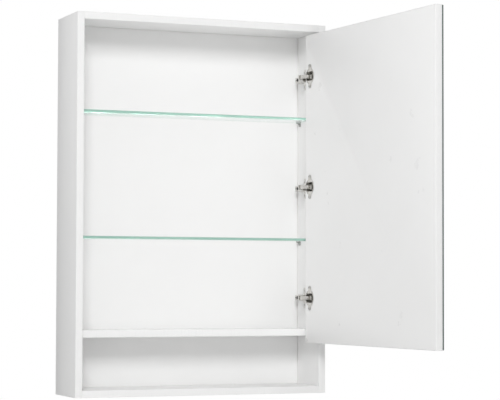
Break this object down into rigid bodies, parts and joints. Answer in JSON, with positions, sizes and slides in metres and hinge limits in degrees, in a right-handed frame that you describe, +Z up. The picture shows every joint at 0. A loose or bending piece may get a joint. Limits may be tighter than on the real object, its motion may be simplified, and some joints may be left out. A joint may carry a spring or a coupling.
{
  "type": "medicine cabinet with mirror",
  "caption": "Wall-hung white medicine cabinet with an inset mirrored door on concealed hinges, glass shelves and an open niche below.",
  "frame": {"origin": "centre of the hanging rail's rear face, on the wall plane", "axes": "+X to the right seen from the front, +Y into the wall, +Z up"},
  "size_m": [0.6152, 0.6979, 0.85],
  "materials": {
    "white_laminate": "satin",
    "white_back": "satin",
    "raw_board": "matte",
    "shelf_glass": "polished",
    "mirror": "polished",
    "nickel": "polished",
    "zinc": "satin",
    "pin_metal": "satin"
  },
  "bodies": {
    "carcass": {"left_side_panel": "white_laminate", "right_side_panel": "white_laminate", "top_panel": "white_laminate", "bottom_panel": "white_laminate", "fixed_shelf": "white_laminate", "back_panel": "white_back", "hanging_rail": "raw_board", "hanger_left": "zinc", "hanger_left_screw_lower": "zinc", "hanger_left_screw_upper": "zinc", "hanger_right": "zinc", "hanger_right_screw_lower": "zinc", "hanger_right_screw_upper": "zinc", "glass_shelf_lower": "shelf_glass", "glass_shelf_upper": "shelf_glass", "pin_lower_left_front": "pin_metal", "pin_lower_left_rear": "pin_metal", "pin_lower_right_front": "pin_metal", "pin_lower_right_rear": "pin_metal", "pin_upper_left_front": "pin_metal", "pin_upper_left_rear": "pin_metal", "pin_upper_right_front": "pin_metal", "pin_upper_right_rear": "pin_metal", "hinge_1_plate": "nickel", "hinge_1_plate_screw_lower": "zinc", "hinge_1_plate_screw_upper": "zinc", "hinge_1_arm": "nickel", "hinge_1_arm_pin": "zinc", "hinge_1_adjuster": "zinc", "hinge_2_plate": "nickel", "hinge_2_plate_screw_lower": "zinc", "hinge_2_plate_screw_upper": "zinc", "hinge_2_arm": "nickel", "hinge_2_arm_pin": "zinc", "hinge_2_adjuster": "zinc", "hinge_3_plate": "nickel", "hinge_3_plate_screw_lower": "zinc", "hinge_3_plate_screw_upper": "zinc", "hinge_3_arm": "nickel", "hinge_3_arm_pin": "zinc", "hinge_3_adjuster": "zinc"},
    "links": {"hinge_1_link": "nickel", "hinge_2_link": "nickel", "hinge_3_link": "nickel"},
    "door": {"door_board": "white_laminate", "mirror_glass": "mirror", "hinge_1_cup": "nickel", "hinge_1_cup_pin": "zinc", "hinge_1_cup_screw_lower": "zinc", "hinge_1_cup_screw_upper": "zinc", "hinge_2_cup": "nickel", "hinge_2_cup_pin": "zinc", "hinge_2_cup_screw_lower": "zinc", "hinge_2_cup_screw_upper": "zinc", "hinge_3_cup": "nickel", "hinge_3_cup_pin": "zinc", "hinge_3_cup_screw_lower": "zinc", "hinge_3_cup_screw_upper": "zinc"}
  },
  "joints": [
    {"name": "link_swing", "type": "hinge", "parent": "carcass", "child": "links", "pos_m": [0.253, -0.119, -0.32], "axis": [0, 0, 1], "range_deg": [-0.25, 16.4]},
    {"name": "door_swing", "type": "hinge", "parent": "links", "child": "door", "pos_m": [0.26624, -0.14432, -0.32], "axis": [0, 0, 1], "range_deg": [-110.26, 1.17]}
  ],
  "couplings": [
    {"joint": "link_swing", "follows": "door_swing", "ratio": -0.14749}
  ]
}
